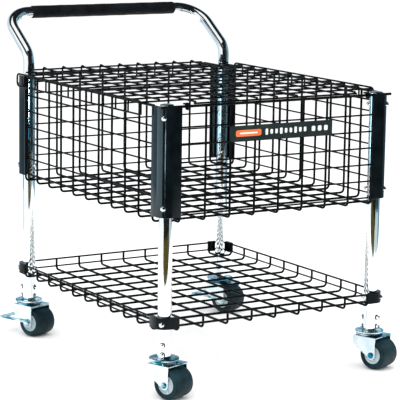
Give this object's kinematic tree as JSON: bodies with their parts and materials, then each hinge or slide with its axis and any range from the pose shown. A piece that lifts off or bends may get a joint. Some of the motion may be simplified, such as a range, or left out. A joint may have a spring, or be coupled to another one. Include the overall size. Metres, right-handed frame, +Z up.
{
  "type": "tennis ball cart",
  "caption": "Wire tennis ball cart with a hinged wire lid, a low tray, chrome tube legs, a foam-gripped push handle and braked swivel casters.",
  "frame": {"origin": "bottom centre of the bounding box, on the floor", "axes": "+X to the cart's right seen from its front, +Y from the name plate to the push handle, +Z up"},
  "size_m": [0.6128, 0.8122, 0.7388],
  "materials": {
    "chrome": "polished chrome plate on steel tube",
    "zinc": "bright blue zinc plate on pressed steel",
    "wire": "black powder coat on steel wire",
    "bracket": "glossy black moulded plastic",
    "foam": "matt black closed-cell foam",
    "plate": "satin dark grey-green",
    "tyre": "satin dark blue-grey",
    "hub": "light grey moulded plastic"
  },
  "bodies": {
    "frame": {"basket_floor": "wire", "basket_front": "wire", "basket_left": "wire", "basket_rear": "wire", "basket_right": "wire", "front_left_caster_head": "zinc", "front_left_leg": "chrome", "front_left_leg_cap": "chrome", "front_left_lower_bolt": "chrome", "front_left_lower_bracket": "bracket", "front_left_upper_bracket": "bracket", "front_right_caster_head": "zinc", "front_right_leg": "chrome", "front_right_leg_cap": "chrome", "front_right_lower_bolt": "chrome", "front_right_lower_bracket": "bracket", "front_right_upper_bracket": "bracket", "handle_grip": "foam", "name_plate": "plate", "push_handle": "chrome", "rear_left_caster_head": "zinc", "rear_left_leg": "chrome", "rear_left_lower_bolt": "chrome", "rear_left_lower_bracket": "bracket", "rear_left_upper_bracket": "bracket", "rear_right_caster_head": "zinc", "rear_right_leg": "chrome", "rear_right_lower_bolt": "chrome", "rear_right_lower_bracket": "bracket", "rear_right_upper_bracket": "bracket", "tray_floor": "wire", "tray_front": "wire", "tray_left": "wire", "tray_rear": "wire", "tray_right": "wire"},
    "front_left_fork_body": {"front_left_caster_fork": "zinc", "front_left_axle": "zinc"},
    "front_left_wheel_body": {"front_left_tyre": "tyre", "front_left_wheel_hub": "hub"},
    "front_right_fork_body": {"front_right_caster_fork": "zinc", "front_right_axle": "zinc"},
    "front_right_wheel_body": {"front_right_tyre": "tyre", "front_right_wheel_hub": "hub"},
    "rear_left_fork_body": {"rear_left_caster_fork": "zinc", "rear_left_axle": "zinc"},
    "rear_left_wheel_body": {"rear_left_tyre": "tyre", "rear_left_wheel_hub": "hub"},
    "rear_left_brake_body": {"rear_left_brake_lever": "zinc"},
    "rear_right_fork_body": {"rear_right_caster_fork": "zinc", "rear_right_axle": "zinc"},
    "rear_right_wheel_body": {"rear_right_tyre": "tyre", "rear_right_wheel_hub": "hub"},
    "rear_right_brake_body": {"rear_right_brake_lever": "zinc"},
    "lid_body": {"lid_left_hinge_eye": "wire", "lid_left_lip": "wire", "lid_rear_lip": "wire", "lid_right_hinge_eye": "wire", "lid_right_lip": "wire", "lid_top": "wire"}
  },
  "joints": [
    {"name": "front_left_swivel", "type": "hinge", "parent": "frame", "child": "front_left_fork_body", "pos_m": [-0.25365, -0.34351, 0.07459], "axis": [0, 0, 1], "continuous": true},
    {"name": "front_left_wheel_spin", "type": "hinge", "parent": "front_left_fork_body", "child": "front_left_wheel_body", "pos_m": [-0.24476, -0.36795, 0.03259], "axis": [0.9397, 0.342, 0], "continuous": true},
    {"name": "front_right_swivel", "type": "hinge", "parent": "frame", "child": "front_right_fork_body", "pos_m": [0.26135, -0.34351, 0.07459], "axis": [0, 0, 1], "continuous": true},
    {"name": "front_right_wheel_spin", "type": "hinge", "parent": "front_right_fork_body", "child": "front_right_wheel_body", "pos_m": [0.27024, -0.36795, 0.03259], "axis": [0.9397, 0.342, 0], "continuous": true},
    {"name": "rear_left_swivel", "type": "hinge", "parent": "frame", "child": "rear_left_fork_body", "pos_m": [-0.25365, 0.26749, 0.07459], "axis": [0, 0, 1], "continuous": true},
    {"name": "rear_left_wheel_spin", "type": "hinge", "parent": "rear_left_fork_body", "child": "rear_left_wheel_body", "pos_m": [-0.24476, 0.24305, 0.03259], "axis": [0.9397, 0.342, 0], "continuous": true},
    {"name": "rear_left_brake_press", "type": "hinge", "parent": "rear_left_fork_body", "child": "rear_left_brake_body", "pos_m": [-0.24476, 0.24305, 0.03259], "axis": [0.9397, 0.342, 0], "range_deg": [-18, 0]},
    {"name": "rear_right_swivel", "type": "hinge", "parent": "frame", "child": "rear_right_fork_body", "pos_m": [0.26135, 0.26749, 0.07459], "axis": [0, 0, 1], "continuous": true},
    {"name": "rear_right_wheel_spin", "type": "hinge", "parent": "rear_right_fork_body", "child": "rear_right_wheel_body", "pos_m": [0.27024, 0.24305, 0.03259], "axis": [0.9397, 0.342, 0], "continuous": true},
    {"name": "rear_right_brake_press", "type": "hinge", "parent": "rear_right_fork_body", "child": "rear_right_brake_body", "pos_m": [0.27024, 0.24305, 0.03259], "axis": [0.9397, 0.342, 0], "range_deg": [-18, 0]},
    {"name": "lid_hinge", "type": "hinge", "parent": "frame", "child": "lid_body", "pos_m": [0.00385, -0.36191, 0.59409], "axis": [1, 0, 0], "range_deg": [0, 120]}
  ]
}
